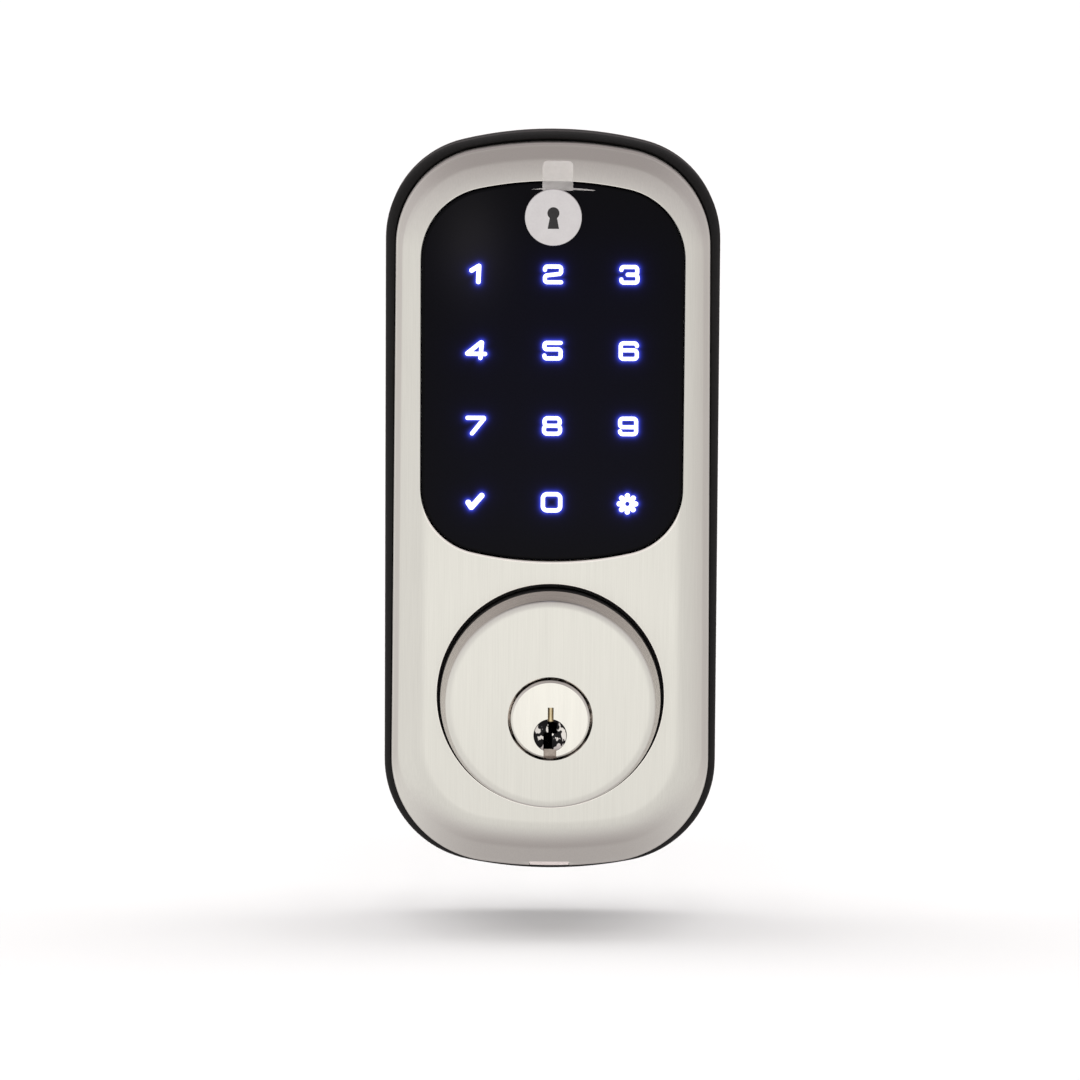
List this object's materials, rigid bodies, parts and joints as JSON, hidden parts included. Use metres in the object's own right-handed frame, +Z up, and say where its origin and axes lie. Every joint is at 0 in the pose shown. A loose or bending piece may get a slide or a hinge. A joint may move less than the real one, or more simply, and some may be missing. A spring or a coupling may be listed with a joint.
{
  "type": "keypad smart lock",
  "caption": "Keypad smart lock, exterior unit: rolled metal cover with a lit touch keypad above a round key cylinder, black rear housing, posts and tailpiece that enter the door bore.",
  "frame": {"origin": "on the key plug's axis, in the plane of the door's outer face, which the rear gasket touches", "axes": "+Z up the lock, +Y into the door along the plug and tailpiece, so the keypad faces -Y; +X to the right as seen from outside"},
  "size_m": [0.0598, 0.0951, 0.1334],
  "materials": {
    "satin_nickel": "satin, fine upright brushing",
    "black_plastic": "satin black",
    "gasket_rubber": "matt black",
    "lens_black": "polished black",
    "sensor_film": "amber film",
    "lit_symbol": "lit cool white",
    "circuit_board": "green solder mask",
    "chip_black": "moulded black",
    "socket_nylon": "natural nylon",
    "zinc_steel": "zinc plated",
    "hard_steel": "hardened, dark",
    "spring_steel": "bright wire",
    "brass": "machined",
    "plug_nickel": "fine satin nickel",
    "badge_aluminium": "satin, blank",
    "clear_film": "thin clear film, slightly milky",
    "contact_plating": "bright nickel"
  },
  "bodies": {
    "housing": {"anti_drill_pin": "hard_steel", "badge_disc": "badge_aluminium", "board_screw_1": "zinc_steel", "board_screw_2": "zinc_steel", "board_screw_3": "zinc_steel", "board_screw_4": "zinc_steel", "cable_socket": "socket_nylon", "chamber_cap": "brass", "collar_seal": "gasket_rubber", "cylinder_body": "brass", "cylinder_face": "satin_nickel", "cylinder_screw_1": "zinc_steel", "cylinder_screw_2": "zinc_steel", "door_gasket": "gasket_rubber", "film_tab": "clear_film", "front_cover": "satin_nickel", "housing_screw_1": "zinc_steel", "housing_screw_2": "zinc_steel", "inner_plate": "zinc_steel", "keypad_board": "circuit_board", "lens_seal": "gasket_rubber", "light_guide": "lit_symbol", "mounting_post_left": "zinc_steel", "mounting_post_right": "zinc_steel", "pin_spring_1": "spring_steel", "pin_spring_2": "spring_steel", "pin_spring_3": "spring_steel", "pin_spring_4": "spring_steel", "pin_spring_5": "spring_steel", "plate_screw_1": "zinc_steel", "plate_screw_2": "zinc_steel", "plate_screw_3": "zinc_steel", "plate_screw_4": "zinc_steel", "processor_chip": "chip_black", "radio_module": "zinc_steel", "rear_housing": "black_plastic", "speaker": "chip_black", "terminal_block": "black_plastic", "terminal_left": "contact_plating", "terminal_right": "contact_plating", "touch_lens": "lens_black", "touch_sensor": "sensor_film"},
    "plug": {"key_plug": "plug_nickel", "plug_cap": "brass"},
    "tail": {"tailpiece": "zinc_steel"},
    "key_pin_1_body": {"key_pin_1": "brass"},
    "key_pin_2_body": {"key_pin_2": "brass"},
    "key_pin_3_body": {"key_pin_3": "brass"},
    "key_pin_4_body": {"key_pin_4": "brass"},
    "key_pin_5_body": {"key_pin_5": "brass"},
    "driver_pin_1_body": {"driver_pin_1": "zinc_steel"},
    "driver_pin_2_body": {"driver_pin_2": "zinc_steel"},
    "driver_pin_3_body": {"driver_pin_3": "zinc_steel"},
    "driver_pin_4_body": {"driver_pin_4": "zinc_steel"},
    "driver_pin_5_body": {"driver_pin_5": "zinc_steel"}
  },
  "joints": [
    {"name": "plug_turn", "type": "hinge", "parent": "housing", "child": "plug", "pos_m": [0, 0, 0], "axis": [0, 1, 0], "range_deg": [-90, 90]},
    {"name": "tailpiece_lost_motion", "type": "hinge", "parent": "plug", "child": "tail", "pos_m": [0, 0, 0], "axis": [0, 1, 0], "range_deg": [0, 90]},
    {"name": "key_pin_1_drop", "type": "slide", "parent": "plug", "child": "key_pin_1_body", "axis": [0, 0, -1], "range_m": [0, 0.00105]},
    {"name": "key_pin_2_drop", "type": "slide", "parent": "plug", "child": "key_pin_2_body", "axis": [0, 0, -1], "range_m": [0, 0.00265]},
    {"name": "key_pin_3_drop", "type": "slide", "parent": "plug", "child": "key_pin_3_body", "axis": [0, 0, -1], "range_m": [0, 0.00185]},
    {"name": "key_pin_4_drop", "type": "slide", "parent": "plug", "child": "key_pin_4_body", "axis": [0, 0, -1], "range_m": [0, 0.00305]},
    {"name": "key_pin_5_drop", "type": "slide", "parent": "plug", "child": "key_pin_5_body", "axis": [0, 0, -1], "range_m": [0, 0.00225]},
    {"name": "driver_pin_1_lift", "type": "slide", "parent": "housing", "child": "driver_pin_1_body", "axis": [0, 0, 1], "range_m": [0, 0.0026], "stiffness_N_per_m": 60, "springref_m": -0.004, "deforming": ["pin_spring_1"]},
    {"name": "driver_pin_2_lift", "type": "slide", "parent": "housing", "child": "driver_pin_2_body", "axis": [0, 0, 1], "range_m": [0, 0.0026], "stiffness_N_per_m": 60, "springref_m": -0.004, "deforming": ["pin_spring_2"]},
    {"name": "driver_pin_3_lift", "type": "slide", "parent": "housing", "child": "driver_pin_3_body", "axis": [0, 0, 1], "range_m": [0, 0.0026], "stiffness_N_per_m": 60, "springref_m": -0.004, "deforming": ["pin_spring_3"]},
    {"name": "driver_pin_4_lift", "type": "slide", "parent": "housing", "child": "driver_pin_4_body", "axis": [0, 0, 1], "range_m": [0, 0.0026], "stiffness_N_per_m": 60, "springref_m": -0.004, "deforming": ["pin_spring_4"]},
    {"name": "driver_pin_5_lift", "type": "slide", "parent": "housing", "child": "driver_pin_5_body", "axis": [0, 0, 1], "range_m": [0, 0.0026], "stiffness_N_per_m": 60, "springref_m": -0.004, "deforming": ["pin_spring_5"]}
  ]
}
